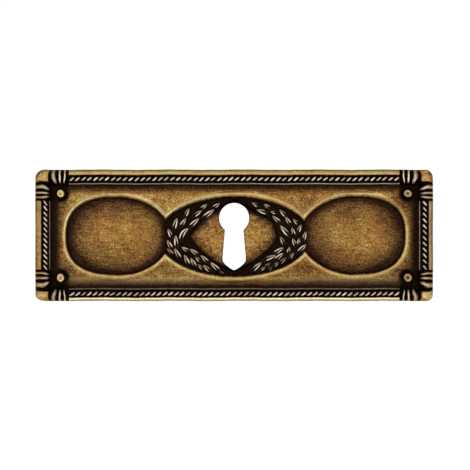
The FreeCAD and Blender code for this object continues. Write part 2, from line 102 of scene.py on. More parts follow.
# The border's section: how far in from the edge, how high, how far the black is rubbed off there, and
# how bare it is: 0 where the golden lacquer is whole, 0.5 where it is thin, and 1 on pale metal.
# Across the outer reed the rub rises from its dark outer edge to its light inner side: painted light and
# shade across its round, with the rubbing.
BORDER = (
    (0.0, 2.1, 0.48, 0.5), (0.08, 2.5, 0.54, 0.5), (0.25, 2.8, 0.60, 0.5), (0.5, 2.95, 0.65, 0.5),
    (0.8, 3.0, 0.74, 0.5), (1.1, 2.96, 0.82, 0.5), (1.35, 2.8, 0.78, 0.5), (1.48, 2.5, 0.45, 0.5),
    (1.6, 1.6, 0.03, 0.0), (1.75, 1.5, 0.0, 0.0), (2.3, 1.5, 0.0, 0.0), (2.9, 1.5, 0.04, 0.0),
    (3.4, 1.5, 0.12, 0.5), (3.52, 1.7, 0.05, 1.0), (3.62, 2.15, 0.48, 1.0), (3.8, 2.3, 0.66, 1.0),
    (3.98, 2.15, 0.44, 1.0), (4.1, 1.75, 0.14, 0.6), (4.25, 1.52, 0.09, 0.0), (4.6, 1.54, 0.15, 0.0),
    (5.0, 1.62, 0.23, 0.0), (5.6, 1.84, 0.39, 0.0), (6.2, 2.08, 0.56, 0.0), (6.9, 2.2, 0.62, 0.0),
    (8.0, 2.2, 0.57, 0.0),
)
# Where in that section the reed ends, the bead starts and ends, and the cove starts.
REED_END, BEAD_START, BEAD_END, COVE_START = 1.6, 3.5, 4.1, 4.25
# At both ends of the plate the black lies wider in the cove, as (inset, rubbed) pairs.
END_COVE = ((4.25, 0.04), (5.2, 0.09), (5.75, 0.15), (6.28, 0.28), (6.8, 0.38), (7.4, 0.47), (9.0, 0.56))
# The corner bindings lie on this much of the border, which is cut down to a step there: how far in
# from the edge, and how high it may be.
CORNER_RUN_LONG, CORNER_RUN_WIDE = 8.9, 8.3
CORNER_STEP = ((0, 1.9), (0.3, 2.15), (3.4, 2.1), (4.2, 1.5), (4.6, 3.0))
PIN_HEADS = [(x, z) for x in (-46.25, 46.25) for z in (-11.2, 11.2)]


def smooth(low, high, value):
    """Rises softly from 0 at low to 1 at high."""
    share = np.clip((value - low) / (high - low), 0, 1)
    return share * share * (3 - 2 * share)


def between(start, full, fade, end, value):
    """Rises softly from 0 at start to 1 at full, and falls back to 0 from fade to end."""
    return smooth(start, full, value) * smooth(end, fade, value)


def follow(pairs, place):
    """Reads the line that runs straight from one (place, value) pair to the next."""
    return np.interp(place, *zip(*pairs))


def soft_spot(x, z, middle_x, middle_z, radius):
    """A soft round spot: 1 in its middle, a third at its radius, and almost nothing at twice that."""
    return np.exp(-((x - middle_x) ** 2 + (z - middle_z) ** 2) / radius**2)


def edge_inset(x, z):
    """How far a point lies in from the rounded outline of the plate."""
    across, up = np.abs(x) - (HALF_LONG - CORNER), np.abs(z) - (HALF_WIDE - CORNER)
    outside = np.hypot(np.maximum(across, 0), np.maximum(up, 0))
    return CORNER - outside - np.minimum(np.maximum(across, up), 0)


def outside_oval(x, z, oval):
    """Distance outside an oval, negative inside it."""
    place, level, long, short, inner_end, outer_end = oval
    a, b = (x - place) / long, (z - level) / short
    power = inner_end + (outer_end - inner_end) * smooth(-0.2, 0.3, a * np.sign(place))
    a, b = np.maximum(np.abs(a), 1e-4), np.maximum(np.abs(b), 1e-4)
    near = (a**power + b**power) ** (1 / power)
    slope = near ** (1 - power) * np.hypot(a ** (power - 1) / long, b ** (power - 1) / short)
    return (near - 1) / np.maximum(slope, 0.03)


def outside_ovals(x, z):
    """Distance outside the lip's inner edge, negative in the three ovals."""
    return np.minimum.reduce([outside_oval(x, z, oval) for oval in SIDE_OVALS + (KEY_OVAL,)])


def land_depth(x, z):
    """How far a point lies inside the pointed land round the keyhole, whose four sides are bowed."""
    bow, past_x, past_z, level = 24.0, 8.07, 13.0, -0.25
    depth = bow - np.hypot(np.abs(x) + past_x, np.abs(z - level) + past_z)
    # Its upper right side is fuller than the others, and its right point is blunt.
    return depth + soft_spot(x, z, 9.8, 3.6, 2.4) - 0.4 * soft_spot(x, z, 11.7, 0, 1.4)


def border_relief(x, z):
    """Height of the border and the field, how far their black is rubbed off with painted light and shade
    laid on it, and how bare they are.
    """
    inset = edge_inset(x, z)
    insets, *columns = zip(*BORDER)
    height, rubbed_and_lit, bare = (np.interp(inset, insets, column) for column in columns)
    at_end = smooth(-0.5, 0.5, (HALF_WIDE - np.abs(z)) - (HALF_LONG - np.abs(x)))
    at_side = 1 - at_end

    # The lower cove is painted lighter than the upper one, most at the left, as painted light from below on
    # its slope, and the field beside it a little darker.
    low = 0.11 * between(4.5, 4.8, 6.0, 7.0, inset)
    low = low - (0.03 + 0.06 * smooth(8, 14, np.abs(x))) * smooth(6.0, 6.8, inset)
    low = low - 0.06 * smooth(6, 14, x) * between(4.5, 5.0, 6.4, 7.0, inset)
    side = rubbed_and_lit + low * (z < 0)
    end = follow(END_COVE, inset) + 0.11 * (x > 0) * between(5.2, 5.8, 6.8, 7.4, inset)
    rubbed_and_lit = np.where(inset > COVE_START, side + (end - side) * at_end, rubbed_and_lit)

    # The upper bead is painted lighter along its outer side, most at the right, and the lower one darker:
    # painted light and shade.
    bead = between(BEAD_START, BEAD_START + 0.15, BEAD_END - 0.15, BEAD_END, inset)
    upper = (0.2 + 0.2 * smooth(0, 12, x)) * smooth(4.0, 3.8, inset)
    rubbed_and_lit = rubbed_and_lit + bead * (np.where(z > 0, upper, -0.1) * at_side + 0.1 * at_end)

    # The lower reed is painted the palest, as painted light from below, and those at the two ends are the
    # darkest.
    reed = smooth(REED_END + 0.1, REED_END - 0.1, inset)
    lower = at_side * (z < 0)
    dull = np.where(x < 0, 0.09, 0.15) * between(0.3, 0.6, 1.0, 1.4, inset)
    rubbed_and_lit = rubbed_and_lit + reed * (lower * (0.12 + 0.16 * smooth(0.5, 0.9, inset)) - at_end * dull - 0.02)
    bare = bare + reed * (lower * 0.1 + at_end * np.where(x < 0, -0.14, 0.12))
    # The lacquer is thin along the foot of the field too, and thinnest in its cove.
    in_cove = (0.16 + 0.36 * smooth(6, 13, np.abs(x))) * smooth(6.7, 5.6, inset)
    bare = bare + (0.16 + in_cove) * smooth(4.4, 4.8, inset) * smooth(-7.5, -9.5, z)

    # Under the corner bindings the border is a plain black step.
    corner = smooth(CORNER_RUN_LONG + 0.1, CORNER_RUN_LONG - 0.1, HALF_LONG - np.abs(x))
    corner = corner * smooth(CORNER_RUN_WIDE + 0.1, CORNER_RUN_WIDE - 0.1, HALF_WIDE - np.abs(z))
    step = np.minimum(height, follow(CORNER_STEP, inset))
    height = height + (step - height) * corner
    rubbed_and_lit = rubbed_and_lit * (1 - corner * smooth(5.2, 4.4, inset))
    return height, rubbed_and_lit, bare


def sunk_relief(x, z, lip):
    """Height inside the three ovals, and how far their black is rubbed off, with painted light and shade on
    the domes.
    """
    wall = smooth(-0.02, -0.5, lip)
    height = LIP - 0.1 + (FLOOR - LIP + 0.1) * wall
    rubbed_and_lit = 0.05 + 0.25 * (1 - wall)
    # Each dome is lighter in its middle and darker towards its foot: black patina there, and painted shade
    # where the dome curves away.
    at_foot = 0.05 + 0.09 * smooth(-0.6, 0.5, outside_oval(x, z, KEY_OVAL))
    light_and_wear_spots = sum(more * soft_spot(x, z, *spot) for *spot, more in LIGHT_AND_WEAR_SPOTS)
    for (place, level, long, short), (middle, rise, wide, tall) in zip(DOMES, LIGHT_AND_WEAR_OVALS):
        spread = np.hypot((x - place) / long, (z - level) / short)
        height = height + (DOME - FLOOR) * np.clip(1 - spread**2, 0, 1) ** 0.8 * wall
        shade = follow(DOME_SHADES, np.hypot((x - middle) / wide, (z - rise) / tall)) + light_and_wear_spots
        dome_light_and_wear = at_foot + (shade - at_foot) * smooth(1.1, 0.93, spread)
        rubbed_and_lit = np.maximum(rubbed_and_lit, dome_light_and_wear * wall * (np.abs(x - middle) < wide + 2))

    land = land_depth(x, z)
    on_land = (land > -0.2) & (np.abs(x) < 14)
    height = height + (LAND - FLOOR) * smooth(-0.15, 0.5, land) * on_land
    # The edge of its rubbed part is ragged, and black stays at both ends of the keyhole.
    ragged = land + 0.3 * np.sin(1.9 * x + 0.7) * np.sin(2.3 * z + 0.4) * smooth(0.1, 0.6, land)
    shade = follow(LAND_SHADES, ragged)
    shade = shade * (1 - 0.96 * smooth(4.8, 7.3, z)) * (1 - 0.85 * smooth(-6.6, -8.8, z))
    return height, np.where(on_land, shade, rubbed_and_lit)


def relief(x, z):
    """Height of the plate at each point, how far its black is rubbed off with painted light, shade and
    highlights, and how bare its brass is.
    """
    height, rubbed_and_lit, bare = border_relief(x, z)
    lip = outside_ovals(x, z)
    ridge = between(-0.05, 0.2, 0.5, 1.6, lip)
    # The bright crest lies a little further out along the upper stretches of the lip.
    out = lip - 0.34 * smooth(2, 9, z)
    crest_and_highlight = between(0.0, 0.45, 0.5, 1.6, out)
    # The crest of the lip is rubbed bare and carries a painted highlight, brightest at the upper left and
    # dimmer along the bottom.
    bright = 0.84 + 0.03 * smooth(1, 4, z) * smooth(8, -4, x) - 0.04 * smooth(-6, -9, z)
    height = height + (LIP - height) * ridge
    shoulder = rubbed_and_lit + 0.5 * np.maximum(0.62 - rubbed_and_lit, 0) * ridge
    rubbed_and_lit = (shoulder + (bright - shoulder) * crest_and_highlight) * (0.5 + 0.5 * smooth(-0.05, 0.4, lip))
    bare = np.maximum(bare, 0.4 * ridge)

    # A black dish lies round each pin head.
    for head_x, head_z in PIN_HEADS:
        away = np.hypot(x - head_x, z - head_z)
        height = height - np.maximum(height - BED - 0.05, 0) * smooth(2.6, 1.3, away)
        rubbed_and_lit = rubbed_and_lit * (1 - 0.95 * smooth(2.9, 1.5, away)) * (1 - 0.22 * smooth(6.0, 2.4, away))

    sunk_height, sunk_rubbed = sunk_relief(x, z, lip)
    height, bare = np.where(lip > 0, height, sunk_height), np.where(lip > 0, bare, 0.0)
    return height, np.clip(np.where(lip > 0, rubbed_and_lit, sunk_rubbed), 0, 1), bare


# Edges that turn by more than this stay sharp.
SHARP_EDGE = math.radians(62)


def casting(name, points, faces):
    """A mesh from points: along the plate, across it, out of its face, how far rubbed with painted light
    laid in, and how bare.
    """
    points = np.asarray(points, float)
    placed = np.stack([points[:, 0], -points[:, 2], points[:, 1]], axis=1) / 1000
    mesh = bpy.data.meshes.new(name)
    mesh.from_pydata(placed.tolist(), [], faces)
    work = bmesh.new()
    work.from_mesh(mesh)
    bmesh.ops.recalc_face_normals(work, faces=work.faces)
    work.to_mesh(mesh)
    work.free()
    mesh.shade_smooth()
    mesh.set_sharp_from_angle(angle=SHARP_EDGE)
    for layer, values in (("rubbed_and_lit", points[:, 3]), ("bare", points[:, 4])):
        mesh.attributes.new(layer, "FLOAT", "POINT")
        mesh.attributes[layer].data.foreach_set("value", values.astype(np.float32))
    piece = bpy.data.objects.new(name, mesh)
    bpy.context.collection.objects.link(piece)
    return piece


def sheet_faces(rows, columns):
    """The faces of a sheet of points, given row by row."""
    first = (np.arange(rows - 1)[:, None] * columns + np.arange(columns - 1)).ravel()
    return np.stack([first, first + 1, first + columns + 1, first + columns], axis=1)


def sheet_rim(rows, columns):
    """The points round the rim of such a sheet, in order."""
    points = np.arange(rows * columns).reshape(rows, columns)
    return np.concatenate([points[0, :-1], points[:-1, -1], points[-1, :0:-1], points[:0:-1, 0]])


def band_faces(upper, lower):
    """The faces between two rings of points."""
    return np.stack([upper, lower, np.roll(lower, -1), np.roll(upper, -1)], axis=1).tolist()


def round_corners(x, z):
    """Draws points in the square corners of a sheet in to the round corners of the plate."""
    out_x = np.maximum(np.abs(x) - (HALF_LONG - CORNER), 0)
    out_z = np.maximum(np.abs(z) - (HALF_WIDE - CORNER), 0)
    kept = np.maximum(out_x, out_z) / np.maximum(np.hypot(out_x, out_z), 1e-9)
    kept = np.where((out_x > 0) & (out_z > 0), kept, 1)
    return np.sign(x) * (np.abs(x) - out_x * (1 - kept)), np.sign(z) * (np.abs(z) - out_z * (1 - kept))


# The lower border lies nearer to its edge than the upper one, and the right one nearer than the left,
# as (place, shift) pairs up the plate and along it.
SHIFTS_UP = (
    (-17.55, 0), (-16.1, -0.48), (-15.0, -0.72), (-13.75, -0.6), (-13.2, -0.36), (-10.65, 0), (13.2, 0),
    (13.8, 0.05), (15.2, 0),
)
SHIFTS_ALONG = (
    (-53, 0), (-51.5, 0.2), (-50.45, 0.22), (-49.2, 0), (46.3, 0), (49.2, 0.24), (50.45, 0.34),
    (51.52, 0.24), (53, 0),
)
# The pattern is a touch smaller than the plate, so that the waver stays inside its box.
KEPT_LONG, KEPT_WIDE = 0.999, 0.996


def wander(points):
    """The lines of the hand-cut pattern are a little askew, and waver."""
    x, z = points[:, 0].copy(), points[:, 1].copy()
    waver_x = 0.04 * np.sin(z * 0.41 + 1.3) * np.sin(x * 0.19)
    waver_z = 0.045 * np.sin(x * 0.33 + 0.8) + 0.02 * np.sin(x * 1.1 + 2.0)
    points[:, 0] = (x + follow(SHIFTS_ALONG, x)) * KEPT_LONG + waver_x
    points[:, 1] = (z + follow(SHIFTS_UP, z)) * KEPT_WIDE + waver_z
    return points


# The lines of the sheet follow the border's section near the edge, and are evenly spaced inside it.
border_lines = np.array([step[0] for step in BORDER])
lines = []
for half, last, cell in ((HALF_LONG, 6.2, 0.22), (HALF_WIDE, 4.6, 0.2)):
    outer = border_lines[border_lines < last]
    middle = np.linspace(last - half, half - last, round(2 * (half - last) / cell) + 1)
    lines.append(np.concatenate([outer - half, middle, (half - outer)[::-1]]))
along, across = np.meshgrid(*lines)
rows, columns = along.shape
along, across = along.ravel(), across.ravel()

# Points near the lip's edge, the foot of its wall and the middle of its outer slope are drawn onto
# them, so that each is a clean line.
probe = 0.01
for level in (0.0, -0.5, 1.1):
    miss = outside_ovals(along, across) - level
    slope_x = (outside_ovals(along + probe, across) - outside_ovals(along - probe, across)) / (2 * probe)
    slope_z = (outside_ovals(along, across + probe) - outside_ovals(along, across - probe)) / (2 * probe)
    near = (np.abs(miss) < 0.1) & (np.abs(across) < 12) & (np.abs(along) < 46.5)
    along = np.where(near, along - miss * slope_x, along)
    across = np.where(near, across - miss * slope_z, across)
along, across = round_corners(along, across)
front = wander(np.stack([along, across, *relief(along, across)], axis=1))

# The sides run down from the rim of the sheet, and turn in a little to the flat back: from this height,
# and to this share of the size. Sides and back are rubbed evenly.
EASED, EASED_BACK, PLAIN_RUB = 0.15, 0.997, 0.45
rim = sheet_rim(rows, columns)
side_ring, back_ring = front[rim], front[rim]
side_ring[:, 2:] = EASED, PLAIN_RUB, 0.0
back_ring[:, :2] *= EASED_BACK
back_ring[:, 2:] = 0.0, PLAIN_RUB, 0.0
side = len(front) + np.arange(len(rim))
back = side + len(rim)
faces = sheet_faces(rows, columns).tolist() + band_faces(rim, side) + band_faces(side, back)
plate = casting("plate", np.concatenate([front, side_ring, back_ring]), faces + [back.tolist()])

# The keyhole is cut through the casting: a round part, and a slot that widens to a pointed foot.
KEY_RISE, KEY_ROUND, NECK = 4.6, 4.0, 2.46
HALF_FOOT = [(3.1, -6.0), (3.1, -6.6), (2.9, -7.1), (2.5, -7.6), (1.95, -8.1), (1.2, -8.68), (0.6, -9.03)]
FOOT_POINT = (0.0, -9.28)
neck_angle = math.asin(NECK / KEY_ROUND)
keyhole = []
for share in np.linspace(0, 1, 49):
    angle = -math.pi / 2 + neck_angle + share * (2 * math.pi - 2 * neck_angle)
    keyhole.append((KEY_ROUND * math.cos(angle), KEY_RISE + KEY_ROUND * math.sin(angle)))
keyhole += [(-x, z) for x, z in HALF_FOOT] + [FOOT_POINT] + HALF_FOOT[::-1]
count = len(keyhole)
core = [(x, z, level, 0.3, 0.0) for level in (-2.0, 6.0) for x, z in keyhole]
core_faces = [[n, (n + 1) % count, count + (n + 1) % count, count + n] for n in range(count)]
core_faces += [list(range(count))[::-1], list(range(count, 2 * count))]
key_core = casting("key_core", core, core_faces)
cutter = plate.modifiers.new("keyhole", "BOOLEAN")
cutter.operation, cutter.solver, cutter.object = "DIFFERENCE", "EXACT", key_core
cut_mesh = bpy.data.meshes.new_from_object(plate.evaluated_get(bpy.context.evaluated_depsgraph_get()))
plate.modifiers.clear()
plate.data = cut_mesh
cut_mesh.name = "plate"
# The cut leaves points that all but coincide with those of the sheet, and points between only two
# faces. The first are joined and the others taken out.
work = bmesh.new()
work.from_mesh(cut_mesh)
bmesh.ops.remove_doubles(work, verts=work.verts, dist=0.00001)
spare = [point for point in work.verts if len(point.link_edges) == 2]
bmesh.ops.dissolve_verts(work, verts=spare)
work.to_mesh(cut_mesh)
work.free()
cut_mesh.set_sharp_from_angle(angle=SHARP_EDGE)
bpy.data.objects.remove(key_core)

# A painted shade line runs along the edge of the keyhole in place of the shading of its bevel, and its
# walls are rubbed a little by the key.
places = np.empty(len(cut_mesh.vertices) * 3)
cut_mesh.vertices.foreach_get("co", places)
x, y, z = places.reshape(-1, 3).T * 1000
rub_and_light = np.empty(len(x), np.float32)
cut_mesh.attributes["rubbed_and_lit"].data.foreach_get("value", rub_and_light)
top, top_rub_and_shade, _ = relief(x, z)
outline = np.array(keyhole + keyhole[:1])
part = np.linspace(0, 1, 12)[:, None, None]
outline = (outline[:-1] * (1 - part) + outline[1:] * part).reshape(-1, 2)
by_keyhole = (np.abs(x) < 4.2) & (z > -9.4) & (z < 8.7)
across, up = x[by_keyhole][:, None] - outline[:, 0], z[by_keyhole][:, None] - outline[:, 1]
away = np.full(len(x), np.inf)
away[by_keyhole] = np.hypot(across, up).min(axis=1)
top_rub_and_shade = top_rub_and_shade * (1 - 0.7 * smooth(0.36, 0.0, away))
key_wall = (away < 0.08) & (-y < top - 0.1)
rub_and_light = np.where(by_keyhole, np.where(key_wall, 0.30, top_rub_and_shade), rub_and_light)
rub_and_light = np.where(y > -0.01, PLAIN_RUB, rub_and_light)
cut_mesh.attributes["rubbed_and_lit"].data.foreach_set("value", rub_and_light.astype(np.float32))
# The ground back has no soft edges.
for face in cut_mesh.polygons:
    if face.normal.y > 0.999:
        face.use_smooth = False


def linear(code):
    """An sRGB hex colour as linear values."""
    parts = [int(code[place:place + 2], 16) / 255 for place in (1, 3, 5)]
    return [part / 12.92 if part <= 0.04045 else ((part + 0.055) / 1.055) ** 2.4 for part in parts] + [1.0]


def add(tree, kind, settings=None, links=None, **fields):
    """A node with its fields, the values of its sockets, and what is linked into them."""
    node = tree.nodes.new(kind)
    for field, value in fields.items():
        setattr(node, field, value)
    for socket, value in (settings or {}).items():
        node.inputs[socket].default_value = value
    for socket, source in (links or {}).items():
        tree.links.new(source, node.inputs[socket])
    return node


# Antiqued cast brass: sand-cast, blackened with a sulphur wash, rubbed back by hand and lacquered.
# It gives black-brown hollows, a mottled golden ground and pale bare metal on the crests.
antiqued = bpy.data.materials.new("antiqued_cast_brass")
antiqued.use_nodes = True
tree = antiqued.node_tree
tree.nodes.clear()
place = add(tree, "ShaderNodeTexCoord").outputs["Object"]
# This attribute carries both how far the black is rubbed off and the painted light, shade and highlights
# laid into it.
wear_and_light = add(tree, "ShaderNodeAttribute", attribute_name="rubbed_and_lit").outputs["Fac"]
bareness = add(tree, "ShaderNodeAttribute", attribute_name="bare").outputs["Fac"]

# The grain of the sand and the lines of the grinding belt are about 0.15 mm wide. A pixel of the render
# covers 0.27 mm, so both are drawn coarser. The cloth ran along the plate and left short streaks, and
# the belt left long ones on the back, where the black wash dried in clouds.
GRAIN_MM, BLOTCH_MM, CLOUD_MM, STREAK_MM, BELT_MM, WASH_MM = 0.34, 1.4, 8.0, 0.5, 0.22, 14.0
short_runs = add(tree, "ShaderNodeMapping", {"Scale": (0.16, 1.0, 1.0)}, {"Vector": place}).outputs[0]
long_runs = add(tree, "ShaderNodeMapping", {"Scale": (0.02, 1.0, 1.0)}, {"Vector": place}).outputs[0]
patterns = []
for size_mm, detail, roughness, vector in (
    (GRAIN_MM, 2.0, 0.6, place), (BLOTCH_MM, 2.0, 0.6, place), (CLOUD_MM, 2.0, 0.6, place),
    (STREAK_MM, 2.0, 0.6, short_runs), (BELT_MM, 3.0, 0.7, long_runs), (WASH_MM, 4.0, 0.6, place),
):
    settings = {"Scale": 1000 / size_mm, "Detail": detail, "Roughness": roughness}
    patterns.append(add(tree, "ShaderNodeTexNoise", settings, {"Vector": vector}).outputs["Fac"])
grain, blotch, cloud, streak, belt, wash = patterns

# Four of them together mottle the face. Each swings the wear up and down round its own middle of 0.5.
MOTTLE = ((grain, 1.06), (blotch, 0.22), (cloud, 0.20), (streak, 0.36))
(source, amount), *others = MOTTLE
settings = {1: amount, 2: -0.5 * sum(share for _, share in MOTTLE)}
swing = add(tree, "ShaderNodeMath", settings, {0: source}, operation="MULTIPLY_ADD").outputs[0]
for source, amount in others:
    links = {0: source, 2: swing}
    swing = add(tree, "ShaderNodeMath", {1: amount}, links, operation="MULTIPLY_ADD").outputs[0]
# The mottling is strongest on the half-rubbed ground, and dies out in the black and on bare metal.
hold = add(tree, "ShaderNodeFloatCurve", {}, {"Value": wear_and_light})
curve = hold.mapping.curves[0]
curve.points[0].location, curve.points[1].location = (0.0, 0.08), (1.0, 0.2)
for position, value in ((0.08, 0.22), (0.2, 0.6), (0.5, 1.0), (0.64, 1.0), (0.8, 0.5)):
    curve.points.new(position, value)
hold.mapping.update()
calm = add(
    tree, "ShaderNodeMapRange", {"From Min": 0.1, "From Max": 0.5, "To Min": 1.0, "To Max": 0.45},
    {"Value": bareness},
)
for share in (hold.outputs[0], calm.outputs[0]):
    swing = add(tree, "ShaderNodeMath", {}, {0: swing, 1: share}, operation="MULTIPLY").outputs[0]
worn_and_lit = add(tree, "ShaderNodeMath", {}, {0: wear_and_light, 1: swing}, operation="ADD", use_clamp=True).outputs[0]

# The back is worn by the belt's lines and the clouds of the wash alone. In a Mix node sockets 2 and 3
# are its two values, and 6 and 7 its two colours.
depth = add(tree, "ShaderNodeSeparateXYZ", links={0: place}).outputs[1]
on_back = add(
    tree, "ShaderNodeMapRange", {"From Min": -0.00006, "From Max": -0.00002}, {"Value": depth}
).outputs[0]
back_worn = add(
    tree, "ShaderNodeMath", {1: 0.36, 2: 0.06}, {0: belt}, operation="MULTIPLY_ADD"
).outputs[0]
back_worn = add(
    tree, "ShaderNodeMath", {1: 0.42}, {0: wash, 2: back_worn}, operation="MULTIPLY_ADD"
).outputs[0]
worn_and_lit = add(tree, "ShaderNodeMix", {}, {0: on_back, 2: worn_and_lit, 3: back_worn}, data_type="FLOAT").outputs[0]

# From black (0) to fully rubbed (1) the brass is golden where the lacquer is whole, olive where it is
# thin, and pale and faintly pink where it is gone; the palest end of each scale is also used for
# painted highlights. The tint leans to copper in some patches and to green in others.
GOLDEN = (
    (0.0, "#140a06"), (0.12, "#281a12"), (0.25, "#422d1c"), (0.40, "#67492b"), (0.50, "#7f5b31"),
    (0.60, "#966d35"), (0.72, "#aa8448"), (0.85, "#c3a264"), (1.0, "#e6d3a4"),
)
OLIVE = (
    (0.0, "#120a05"), (0.25, "#3e2d1b"), (0.45, "#705834"), (0.55, "#867042"), (0.62, "#97804a"),
    (0.70, "#a89056"), (0.78, "#bba26c"), (0.90, "#dacca4"), (1.0, "#fdf3d4"),
)
PALE = (
    (0.0, "#0e0704"), (0.25, "#382922"), (0.45, "#6e6056"), (0.62, "#978779"), (0.80, "#c6b6a9"),
    (1.0, "#f6ecdf"),
)
TINT = ((0.36, "#f2dcd3"), (0.5, "#f9f5f1"), (0.64, "#f6ffe7"))
patch = add(tree, "ShaderNodeMix", {0: 0.5}, {2: blotch, 3: cloud}, data_type="FLOAT").outputs[0]
ramps = []
for source, steps in ((worn_and_lit, GOLDEN), (worn_and_lit, OLIVE), (worn_and_lit, PALE), (patch, TINT)):
    ramp = add(tree, "ShaderNodeValToRGB", links={"Fac": source})
    stops = ramp.color_ramp.elements
    stops[0].position, stops[0].color = steps[0][0], linear(steps[0][1])
    stops[1].position, stops[1].color = steps[-1][0], linear(steps[-1][1])
    for position, code in steps[1:-1]:
        stops.new(position).color = linear(code)
    ramps.append(ramp.outputs["Color"])
colour, olive, pale, tint = ramps
# The grain lies bare in specks too.
bareness = add(
    tree, "ShaderNodeMath", {1: 0.7}, {0: swing, 2: bareness}, operation="MULTIPLY_ADD", use_clamp=True
).outputs[0]
for low, high, barer in ((0.0, 0.5, olive), (0.5, 1.0, pale)):
    share = add(tree, "ShaderNodeMapRange", {"From Min": low, "From Max": high}, {"Value": bareness})
    links = {0: share.outputs[0], 6: colour, 7: barer}
    colour = add(tree, "ShaderNodeMix", {}, links, data_type="RGBA").outputs[2]
tinted = add(
    tree, "ShaderNodeMix", {0: 0.8}, {6: colour, 7: tint}, data_type="RGBA", blend_type="MULTIPLY"
)
gloss = add(tree, "ShaderNodeMapRange", {"To Min": 0.58, "To Max": 0.34}, {"Value": worn_and_lit})
grit = add(tree, "ShaderNodeMix", {}, {0: on_back, 2: grain, 3: belt}, data_type="FLOAT").outputs[0]
bump = add(tree, "ShaderNodeBump", {"Strength": 0.3, "Distance": 0.00005}, {"Height": grit})
skin = add(
    tree, "ShaderNodeBsdfPrincipled", {"Metallic": 1.0},
    {"Base Color": tinted.outputs[2], "Roughness": gloss.outputs[0], "Normal": bump.outputs[0]},
)
add(tree, "ShaderNodeOutputMaterial", links={"Surface": skin.outputs[0]})
plate.data.materials.clear()
plate.data.materials.append(antiqued)
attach(plate, "root")
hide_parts("escutcheon")


# The corner bindings are cast with the plate: a crowned cushion on each corner, and three ribs beside
# it on both sides, which fan in towards the pin head. The rib beside the cushion is shaped like a leaf.
CUSHION_LONG, CUSHION_WIDE, CUSHION_LINES = 3.54, 3.3, 19
# At the edge of the plate the two inner sides of a cushion flare by this much, over half its width.
FLARE_LONG, FLARE_WIDE, FLARE_PART = 0.75, 0.4, 1.7 / 3.5
# A rib: how far its middle lies from the corner of the plate, and how wide it is.
RIBS_LONG = ((4.95, 1.2), (6.55, 0.8), (7.95, 0.72))
RIBS_WIDE = ((4.72, 1.15), (6.2, 0.9), (7.45, 0.88))
# How far each of the three reaches in from the edge, and how far its tip leans away from the corner.
RIB_REACHES, RIB_LEANS = (4.0, 3.9, 3.9), (0.55, 0.1, -0.3)
# The height that a rib's sides fall to, and how many points it has across and along.
RIB_FOOT, RIB_ROWS, RIB_COLUMNS = 1.75, 11, 17
# From the edge (0) to the tip (1): how high a rib is, how far it is rubbed and how bare it is.
RIB_SPINE = ((0, 2.05), (0.04, 2.6), (0.15, 2.9), (0.35, 2.98), (0.75, 2.7), (0.93, 2.4), (1.0, 1.7))
RIB_RUBS = ((0, 0.74), (0.12, 0.82), (0.4, 0.90), (0.7, 0.94), (0.9, 0.6), (1.0, 0.1))
RIB_BARES = ((0, 0.45), (0.3, 0.6), (0.7, 0.95))
CORNERS = [(sign_x, sign_z) for sign_x in (-1, 1) for sign_z in (-1, 1)]
# Cushions and ribs start this far inside the edge, and their skirts end at this height in the plate.
HAIR, SKIRT_FOOT = 0.02, 1.0
binding_points, binding_faces = [], []


def add_sheet(points, faces, sheet, rows, columns):
    """Adds a sheet of points to a casting, with a skirt that runs down into what carries it."""
    first = len(points)
    rim = sheet_rim(rows, columns)
    skirt = sheet[rim]
    skirt[:, 2:] = SKIRT_FOOT, 0.0, 0.0
    below = first + len(sheet) + np.arange(len(rim))
    points.extend(sheet.tolist() + skirt.tolist())
    faces.extend((sheet_faces(rows, columns) + first).tolist() + band_faces(rim + first, below))
    faces.append(below.tolist())


a, b = np.meshgrid(np.linspace(0, 1, CUSHION_LINES), np.linspace(0, 1, CUSHION_LINES))
a, b = a.ravel(), b.ravel()
flare_x, flare_z = (np.clip(1 - (1 - share) / FLARE_PART, 0, 1) ** 2 for share in (b, a))
cushion_x, cushion_z = round_corners(
    HALF_LONG - (1 - a) * (CUSHION_LONG + FLARE_LONG * flare_x),
    HALF_WIDE - (1 - b) * (CUSHION_WIDE + FLARE_WIDE * flare_z),
)
crown = (1 - np.abs(2 * a - 1) ** 5) * (1 - np.abs(2 * b - 1) ** 5)
level = 2.1 + 0.88 * crown**0.45
crown_rub = 0.48 + 0.18 * crown**0.6 + 0.12 * smooth(0.8, 0.3, a) * smooth(0.8, 0.3, b) * crown
for sign_x, sign_z in CORNERS:
    x, z = sign_x * (cushion_x - HAIR), sign_z * (cushion_z - HAIR)
    # The lower cushions are painted lighter, as painted light from below, above all the right one.
    rub_and_light = crown_rub + (0.1 if sign_z < 0 else -0.01) * a + (0.05 if sign_x > 0 > sign_z else 0)
    sheet = np.stack([x, z, level, rub_and_light, np.full_like(rub_and_light, 0.24)], axis=1)
    add_sheet(binding_points, binding_faces, wander(sheet), CUSHION_LINES, CUSHION_LINES)

